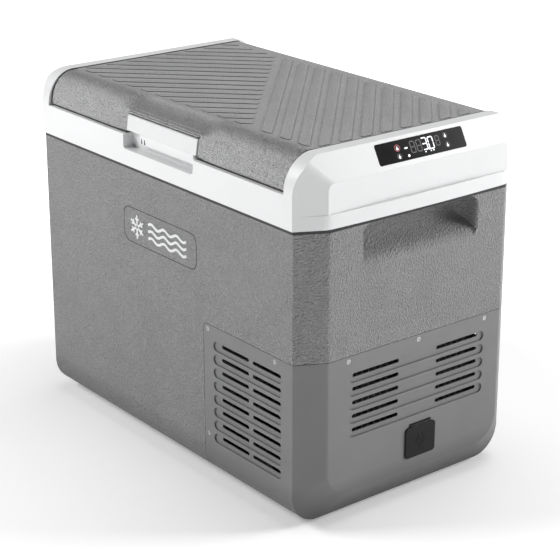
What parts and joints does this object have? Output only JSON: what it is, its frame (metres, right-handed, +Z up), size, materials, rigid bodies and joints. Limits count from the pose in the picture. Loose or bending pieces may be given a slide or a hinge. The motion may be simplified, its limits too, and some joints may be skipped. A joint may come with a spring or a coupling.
{
  "type": "compressor cooler fridge",
  "caption": "Portable chest cooler with hinged ribbed lid, front latch, sloped control display, hand pockets, vented machine bay and flap over its power inlet.",
  "frame": {"origin": "on the floor under the middle of the case", "axes": "+Z up, +X along the length towards the control end, front with the latch faces -Y"},
  "size_m": [0.54, 0.32, 0.43],
  "materials": {
    "body_grey": "leather-grain moulded",
    "lid_grey": "fine stipple",
    "cover_grey": "smooth satin",
    "badge_grey": "smooth satin",
    "frame_white": "satin white",
    "hinge_white": "satin white",
    "liner_white": "food-safe satin",
    "foam": "rigid foam",
    "aluminium_plate": "mill",
    "display_glass": "black gloss",
    "circuit_board": "solder mask",
    "seal_rubber": "soft matte",
    "steel": "plated",
    "dark_screw": "dark zinc",
    "black_plastic": "fine matte",
    "black_paint": "satin enamel",
    "copper": "bright copper",
    "basket_grey": "satin",
    "lens_clear": "frosted"
  },
  "bodies": {
    "case": {"outer_shell": "body_grey", "foam_insulation": "foam", "inner_liner": "liner_white", "evaporator_plate": "aluminium_plate", "top_frame": "frame_white", "display_lens": "display_glass", "display_board": "circuit_board", "latch_catch": "frame_white", "badge_plate": "badge_grey", "hinge_brackets": "hinge_white", "hinge_pins": "steel", "lower_cover": "cover_grey", "cover_screws": "dark_screw", "power_socket": "black_plastic", "flap_hinge": "black_plastic", "base_plate": "steel", "compressor": "black_paint", "compressor_grommets": "seal_rubber", "condenser": "aluminium_plate", "fan_frame": "black_plastic", "control_module": "aluminium_plate", "filter_drier": "copper", "suction_pipe": "copper", "discharge_pipe": "copper", "rubber_feet": "seal_rubber", "foot_screws": "steel", "light_lens": "lens_clear"},
    "lid": {"lid_outer": "lid_grey", "lid_liner": "liner_white", "lid_foam": "foam", "lid_gasket": "seal_rubber", "lid_hinge_arms": "hinge_white", "latch_bracket": "lid_grey", "latch_pin": "steel"},
    "latch": {"latch_handle": "frame_white"},
    "flap": {"socket_flap": "black_plastic"},
    "fan": {"fan_rotor": "black_plastic"},
    "basket": {"storage_basket": "basket_grey"}
  },
  "joints": [
    {"name": "lid_hinge", "type": "hinge", "parent": "case", "child": "lid", "pos_m": [0, 0.15, 0.394], "axis": [-1, 0, 0], "range_deg": [0, 95]},
    {"name": "latch_pivot", "type": "hinge", "parent": "lid", "child": "latch", "pos_m": [0.003, -0.1465, 0.404], "axis": [-1, 0, 0], "range_deg": [0, 25], "stiffness_Nm_per_rad": 0.06},
    {"name": "flap_hinge", "type": "hinge", "parent": "case", "child": "flap", "pos_m": [0.2666, 0.0135, 0.0898], "axis": [0, -1, 0], "range_deg": [0, 105]},
    {"name": "fan_spin", "type": "hinge", "parent": "case", "child": "fan", "pos_m": [0.214, -0.056, 0.142], "axis": [1, 0, 0], "continuous": true},
    {"name": "bin_lift", "type": "slide", "parent": "case", "child": "basket", "axis": [0, 0, 1], "range_m": [0, 0.06]}
  ]
}
